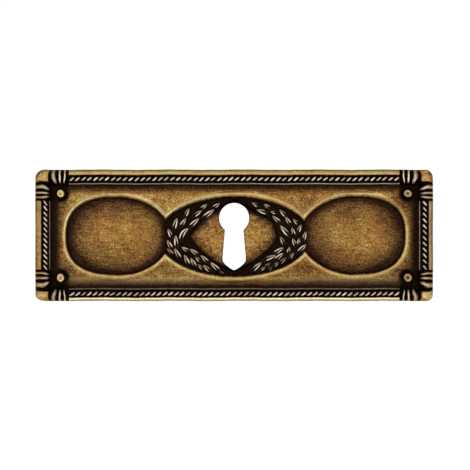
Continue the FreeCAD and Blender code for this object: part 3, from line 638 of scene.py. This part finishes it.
along_rib, across_rib = np.meshgrid(np.linspace(0, 1, RIB_COLUMNS), np.linspace(-1, 1, RIB_ROWS))
along_rib, across_rib = along_rib.ravel(), across_rib.ravel()
body = np.sqrt(np.clip(1 - np.clip((along_rib - 0.45) / 0.56, 0, 1) ** 2.4, 0.002, 1))
hump = np.sqrt(np.clip(1 - across_rib**2, 0, 1))
level = RIB_FOOT + (follow(RIB_SPINE, along_rib) - RIB_FOOT) * hump**0.8
bare = follow(RIB_BARES, along_rib)
for ribs, half, other, upright in (
    (RIBS_LONG, HALF_LONG, HALF_WIDE, False), (RIBS_WIDE, HALF_WIDE, HALF_LONG, True),
):
    for number, (middle, width) in enumerate(ribs):
        leafy = number == 0
        swell = 1 + leafy * 0.22 * np.sin(np.pi * np.clip(along_rib * 1.1, 0, 1))
        bow = RIB_LEANS[number] * smooth(0.35, 1.0, along_rib) - leafy * 0.16 * np.sin(np.pi * along_rib)
        from_corner = half - (middle + bow + across_rib * width / 2 * body * swell)
        from_edge = other - (along_rib * RIB_REACHES[number] + HAIR)
        # The ribs at the ends of the plate, and the leaf-shaped ones, are rubbed wide but dull.
        if upright or leafy:
            ripple = np.sin(7 * across_rib + 3 * along_rib + number)
            rub_and_light = smooth(0.1, 0.55, hump) * (0.80 + 0.12 * ripple)
        else:
            rub_and_light = smooth(0.3, 0.78, hump) * 1.02
        rub_and_light = np.clip(rub_and_light * follow(RIB_RUBS, along_rib), 0, 1)
        x, z = (from_edge, from_corner) if upright else (from_corner, from_edge)
        for sign_x, sign_z in CORNERS:
            sheet = np.stack([sign_x * x, sign_z * z, level, rub_and_light, bare], axis=1)
            add_sheet(binding_points, binding_faces, wander(sheet), RIB_ROWS, RIB_COLUMNS)
bindings = casting("corner_bindings", binding_points, binding_faces)
bindings.data.materials.append(antiqued)
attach(bindings, "root")
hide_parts("escutcheon")


# The rope is a cast moulding that lies in the groove: laid strands, one beside the other, the same
# way round all four sides. Their crests are rubbed to bare brass and carry a painted highlight, and black
# stays in between.
# How far in the rope lies, how high a strand's top is, half its height, and how far its ends fall.
ROPE_INSET, STRAND_TOP, STRAND_ROUND, STRAND_FALL = 2.5, 2.62, 0.42, 0.45
# How many points a strand has along it and round it.
LENGTHS, ROUNDS = 13, 12
# Half the run, its side (1 for the upper and the left one), how many strands, whether it is at an end
# of the plate, half the rope's width, and how bright its painted highlights are.
ROPE_RUNS = (
    (44.0, 1, 56, False, 0.68, 0.90), (44.0, -1, 57, False, 0.74, 0.90),
    (9.35, 1, 13, True, 0.80, 0.93), (9.35, -1, 12, True, 0.78, 0.90),
)
luck = np.random.default_rng(7)
rope_points, rope_faces = [], []
tip, round_way = np.meshgrid(np.linspace(-1, 1, LENGTHS), np.arange(ROUNDS) / ROUNDS * 2 * np.pi)
tip, round_way = tip.T.ravel(), round_way.T.ravel()
taper = np.sqrt(np.clip(1 - np.abs(tip) ** 2.6, 0.0005, 1))
level = STRAND_TOP - STRAND_ROUND - STRAND_FALL * np.abs(tip) ** 2.2
level = level + np.sin(round_way) * STRAND_ROUND * taper
crest_and_highlight = smooth(0.62, 0.97, np.sin(round_way)) * smooth(0.97, 0.5, np.abs(tip))
for half_run, side, count, at_end, half_rope, bright in ROPE_RUNS:
    slant = math.radians(43 if at_end else 38)
    out = tip * half_rope / math.sin(slant)
    line = side * ((HALF_LONG if at_end else HALF_WIDE) - ROPE_INSET)
    for number in range(count):
        middle = half_run * ((number + 0.5) / count * 2 - 1) + luck.uniform(-0.07, 0.07)
        angle = slant + luck.normal(0, 0.04)
        fat = (0.38 if at_end else 0.41) * luck.uniform(0.92, 1.06)
        side_way = np.cos(round_way) * fat * taper
        run = middle + out * math.cos(angle) - side_way * math.sin(angle)
        over = line + out * math.sin(angle) + side_way * math.cos(angle)
        x, z = (-over, run) if at_end else (run, over)
        rub_and_light = np.clip(crest_and_highlight * bright * luck.uniform(0.86, 1.1), 0, 1)
        first = len(rope_points)
        rope_points.extend(wander(np.stack([x, z, level, rub_and_light, np.ones_like(rub_and_light)], axis=1)).tolist())
        for step in range(LENGTHS - 1):
            here, there = first + step * ROUNDS, first + (step + 1) * ROUNDS
            for turn in range(ROUNDS):
                after = (turn + 1) % ROUNDS
                rope_faces.append((here + turn, here + after, there + after, there + turn))
        for end in (0, LENGTHS - 1):
            rope_faces.append([first + end * ROUNDS + turn for turn in range(ROUNDS)])
rope = casting("rope", rope_points, rope_faces)
rope.data.materials.append(antiqued)
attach(rope, "root")
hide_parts("escutcheon")


# The wreath is two laurel branches that grow from the foot of the middle oval up both sides, cast with
# the plate. Each leaf has two lobes with a vein between them, and its tip lies on the next leaf.
# How much of a leaf is black behind its rubbed part, and how many points it has across and along.
STEM_LENGTH, LEAF_ROWS, LEAF_COLUMNS = 1.3, 17, 21
# How wide a leaf is from its tip (0) to its foot (1), and how high it rises from its foot to its tip.
LEAF_WIDTHS = (
    (0, 0.03), (0.07, 0.3), (0.18, 0.62), (0.32, 0.9), (0.48, 1), (0.7, 0.88), (0.86, 0.55), (1, 0.04)
)
LEAF_RISES = ((0, 0.25), (0.4, 0.75), (0.75, 1.05), (0.93, 0.95), (1.0, 0.3))
# A leaf: its tip along and across the plate, the way it points in degrees, how long its rubbed part
# is, how bright that part is, and for the one that curls, how much.
LEFT_BRANCH = (
    (-4.1, -9.4, 135, 1.5, 0.6), (-6.4, -7.15, 135, 3.3, 1.0), (-8.9, -5.25, 133, 2.6, 0.95),
    (-11.85, -3.6, 143, 2.6, 1.0), (-14.1, -3.15, 150, 2.2, 1.0), (-11.95, 1.75, 14, 3.9, 1.0, 0.35),
    (-9.35, 4.55, 40, 3.2, 1.0), (-5.3, 6.95, 34, 3.5, 1.0), (-8.2, -7.85, 132, 2.5, 0.85),
    (-10.4, -5.75, 138, 1.6, 0.9), (-13.3, -5.15, 110, 2.9, 1.0), (-15.9, -3.5, 117, 3.0, 1.0),
    (-15.6, 0.1, 92, 3.0, 1.0), (-12.8, 4.65, 55, 2.5, 1.0), (-8.6, 6.7, 33, 2.5, 1.0),
    (-9.6, -7.65, 128, 1.9, 0.8), (-11.6, -6.1, 118, 2.6, 1.0), (-3.75, 8.6, 30, 2.2, 0.95),
    (-17.85, -3.6, 132, 2.2, 0.85), (-17.85, -1.25, 115, 2.5, 1.0), (-17.7, 1.75, 112, 2.5, 1.0),
    (-15.2, 4.7, 72, 3.1, 0.95), (-11.95, 7.2, 58, 2.4, 0.9), (-7.2, 8.35, 33, 2.0, 0.95),
)
RIGHT_BRANCH = (
    (7.35, -7.2, 41, 3.3, 1.0), (11.1, -5.35, 19, 3.0, 1.0), (13.2, -3.2, 30, 2.9, 0.95),
    (12.2, -0.2, 115, 2.3, 0.8), (12.2, 2.75, 128, 3.5, 0.95), (10.2, 5.25, 137, 2.6, 1.0),
    (6.0, 6.8, 162, 2.7, 1.0), (8.3, -8.5, 35, 1.5, 0.9), (9.7, -7.35, 38, 1.7, 0.65),
    (13.2, -4.7, 37, 2.8, 0.9), (14.8, -2.95, 75, 1.7, 0.9), (15.5, -0.7, 110, 2.1, 0.95),
    (15.4, 2.15, 105, 2.1, 1.0), (13.65, 5.1, 120, 2.4, 0.9), (9.6, 6.4, 165, 1.5, 0.95),
    (4.74, 8.7, 150, 1.8, 1.0), (10.4, -8.4, 32, 1.6, 0.6), (11.9, -7.1, 42, 1.7, 0.85),
    (13.9, -5.9, 42, 2.3, 0.75), (15.9, -4.6, 55, 1.9, 0.9), (19.3, -2.35, 42, 3.2, 1.0),
    (17.2, -0.7, 92, 1.7, 0.9), (19.2, 1.1, 72, 2.4, 1.0), (17.9, 2.9, 65, 2.2, 1.0),
    (15.7, 4.4, 132, 1.9, 0.85), (12.1, 6.9, 133, 2.4, 0.9), (7.95, 8.45, 145, 1.8, 0.95),
)
leaf_points, leaf_faces = [], []
stem, breadth = np.meshgrid(np.linspace(0, 1, LEAF_COLUMNS), np.linspace(-1, 1, LEAF_ROWS))
stem, breadth = stem.ravel(), breadth.ravel()
off_vein = np.abs(breadth)
lobes = (1 - off_vein**4) * (1 - 0.6 * np.exp(-((breadth / 0.17) ** 2)))
level = FLOOR - 0.05 + follow(LEAF_RISES, stem) * np.clip(lobes, 0, 1) ** 0.8
flanks = smooth(0.25, 0.6, off_vein) * smooth(1.0, 0.7, off_vein)
for tip_x, tip_z, heading, rubbed_length, bright, *curl in LEFT_BRANCH + RIGHT_BRANCH:
    # From the foot of the leaf to just past its tip, and out to both sides of its vein.
    back = (1 - stem) * (rubbed_length + STEM_LENGTH) - 0.12
    side_way = breadth * (0.42 + 0.10 * rubbed_length) * follow(LEAF_WIDTHS, 1 - stem)
    # One lobe is painted wider and brighter than the other: rubbed brass with a painted highlight.
    high = breadth * luck.choice((-1, 1))
    part = np.clip(1 - back / rubbed_length, 0, 1.1)
    wide = smooth(0.0, 0.7, part)
    crest_and_highlight = smooth(0.32 - 0.34 * wide, 0.46 - 0.32 * wide, high) * smooth(1.02, 0.9, high)
    crest_and_highlight = crest_and_highlight * smooth(0.0, 0.12, part)
    thin = smooth(0.48 - 0.24 * wide, 0.62 - 0.24 * wide, -high) * smooth(1.02, 0.9, -high)
    crest_and_highlight = np.maximum(crest_and_highlight, 0.92 * thin * smooth(0.08, 0.28, part))
    crest_and_highlight = np.maximum(crest_and_highlight, smooth(0.70, 0.82, part) * smooth(1.05, 0.85, off_vein))
    rub_and_light = crest_and_highlight * smooth(1.06, 1.0, part) * bright * luck.uniform(1.08, 1.22)
    rub_and_light = np.clip(np.maximum(rub_and_light, 0.05 + 0.3 * flanks), 0, 1)
    bare = np.full_like(rub_and_light, luck.uniform(0.7, 1.0))
    angle, curled = math.radians(heading), curl[0] if curl else 0.03
    turned = angle + curled * back
    x = tip_x - (np.sin(turned) - math.sin(angle)) / curled - side_way * np.sin(turned)
    z = tip_z - (math.cos(angle) - np.cos(turned)) / curled + side_way * np.cos(turned)
    sheet = np.stack([x, z, level, rub_and_light, bare], axis=1)
    add_sheet(leaf_points, leaf_faces, wander(sheet), LEAF_ROWS, LEAF_COLUMNS)
wreath = casting("laurel_wreath", leaf_points, leaf_faces)
wreath.data.materials.append(antiqued)
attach(wreath, "root")
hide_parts("escutcheon")


# A false pin head is cast in each corner of the field, where a real plate would be nailed. It is a
# low button with a slight dimple, rubbed bright.
# How many points go round a head, and how wide the dimple is.
HEAD_TURNS, DIMPLE_RADIUS = 40, 0.55
# Its middle's height and rub, and its section outwards: radius, height and rub.
HEAD_MIDDLE = (2.56, 0.66)
HEAD_SECTION = (
    (0.2, 2.6, 0.68), (0.4, 2.64, 0.74), (0.62, 2.76, 0.86), (0.82, 2.74, 0.84), (0.98, 2.58, 0.70),
    (1.08, 2.3, 0.4), (1.12, 1.9, 0.0), (1.12, 1.2, 0.0),
)
head_points, head_faces = [], []
for head_x, head_z in PIN_HEADS:
    first = len(head_points)
    # The two heads at the right are darker in the dimple, and are duller and paler.
    dimple, dull, pale_rim = (0.38, 0.11, 0.88) if head_x > 0 else (0.08, 0.0, 0.5)
    head_points.append((head_x, head_z, HEAD_MIDDLE[0], HEAD_MIDDLE[1] - dimple, 0.2))
    for radius, level, rub_and_light in HEAD_SECTION:
        rub_and_light = rub_and_light - dimple * max(0, 1 - radius / DIMPLE_RADIUS) - dull
        for turn in range(HEAD_TURNS):
            angle = turn / HEAD_TURNS * 2 * math.pi
            wave = radius * (1 + 0.03 * math.sin(2 * angle + head_x))
            x, z = head_x + wave * math.cos(angle), head_z + wave * math.sin(angle)
            head_points.append((x, z, level, rub_and_light, pale_rim * min(1, radius)))
    for turn in range(HEAD_TURNS):
        after = (turn + 1) % HEAD_TURNS
        head_faces.append((first, first + 1 + turn, first + 1 + after))
        for ring in range(len(HEAD_SECTION) - 1):
            here, there = first + 1 + ring * HEAD_TURNS, first + 1 + (ring + 1) * HEAD_TURNS
            head_faces.append((here + turn, there + turn, there + after, here + after))
    foot = first + 1 + (len(HEAD_SECTION) - 1) * HEAD_TURNS
    head_faces.append([foot + turn for turn in range(HEAD_TURNS)])
heads = casting("pin_heads", wander(np.array(head_points)), head_faces)
heads.data.materials.append(antiqued)
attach(heads, "root")
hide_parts("escutcheon")


# The studio: a sheet of matt white paper that the plate stands on, and a low ring of it far off all
# round. The paper looks white to the camera and in reflections, and keeps the plate's shadow.
white_paper = bpy.data.materials.new("matt_white_paper")
white_paper.use_nodes = True
tree = white_paper.node_tree
tree.nodes.clear()
matt = add(tree, "ShaderNodeBsdfDiffuse", {"Color": linear("#f4f4f4")})
lift = add(tree, "ShaderNodeEmission", {"Color": linear("#ffffff"), "Strength": 0.6})
none = add(tree, "ShaderNodeEmission", {"Strength": 0.0})
path = add(tree, "ShaderNodeLightPath")
seen = path.outputs["Is Camera Ray"]
for ray in ("Is Glossy Ray", "Is Transmission Ray"):
    links = {0: seen, 1: path.outputs[ray]}
    seen = add(tree, "ShaderNodeMath", {}, links, operation="ADD", use_clamp=True).outputs[0]
glow = add(tree, "ShaderNodeMixShader", {}, {0: seen, 1: none.outputs[0], 2: lift.outputs[0]})
both = add(tree, "ShaderNodeAddShader", {}, {0: matt.outputs[0], 1: glow.outputs[0]})
add(tree, "ShaderNodeOutputMaterial", links={"Surface": both.outputs[0]})

# The size of the room is in metres.
ROOM_RADIUS, RING_HEIGHT, TURNS = 4.0, 0.5, 96
ground = cad_low[2]
angles = [turn / TURNS * 2 * math.pi for turn in range(TURNS)]
circle = [(ROOM_RADIUS * math.cos(angle), ROOM_RADIUS * math.sin(angle)) for angle in angles]
rims = [(x, y, ground) for x, y in circle] + [(x, y, ground + RING_HEIGHT) for x, y in circle]
walls = [(turn, (turn + 1) % TURNS, TURNS + (turn + 1) % TURNS, TURNS + turn) for turn in range(TURNS)]
for name, corners, sides in (("floor", rims[:TURNS], [list(range(TURNS))]), ("backdrop", rims, walls)):
    mesh = bpy.data.meshes.new(name)
    mesh.from_pydata(corners, [], sides)
    mesh.materials.append(white_paper)
    paper = bpy.data.objects.new(name, mesh)
    bpy.context.collection.objects.link(paper)

# The room's own light is even and a little dimmer than the paper.
world = bpy.data.worlds.new("studio")
bpy.context.scene.world = world
world.use_nodes = True
room_light = world.node_tree.nodes["Background"].inputs
room_light["Color"].default_value, room_light["Strength"].default_value = linear("#ffffff"), 0.56

# Two soft boxes in front: one a little to the left, and a dimmer one from above. Each has its place,
# its power in watts and the length of its side.
SOFT_BOXES = (("front_box", (-0.35, -1.2, 0.3), 2.2, 0.6), ("upper_box", (0.2, -0.6, 0.9), 1.5, 0.5))
for name, spot, power, side in SOFT_BOXES:
    lamp = bpy.data.lights.new(name, "AREA")
    lamp.shape, lamp.size, lamp.energy = "SQUARE", side, power
    box = bpy.data.objects.new(name, lamp)
    bpy.context.collection.objects.link(box)
    box.location = spot
    box.rotation_euler = (-box.location).to_track_quat("-Z", "Y").to_euler()

bpy.context.scene.view_settings.view_transform = "Standard"
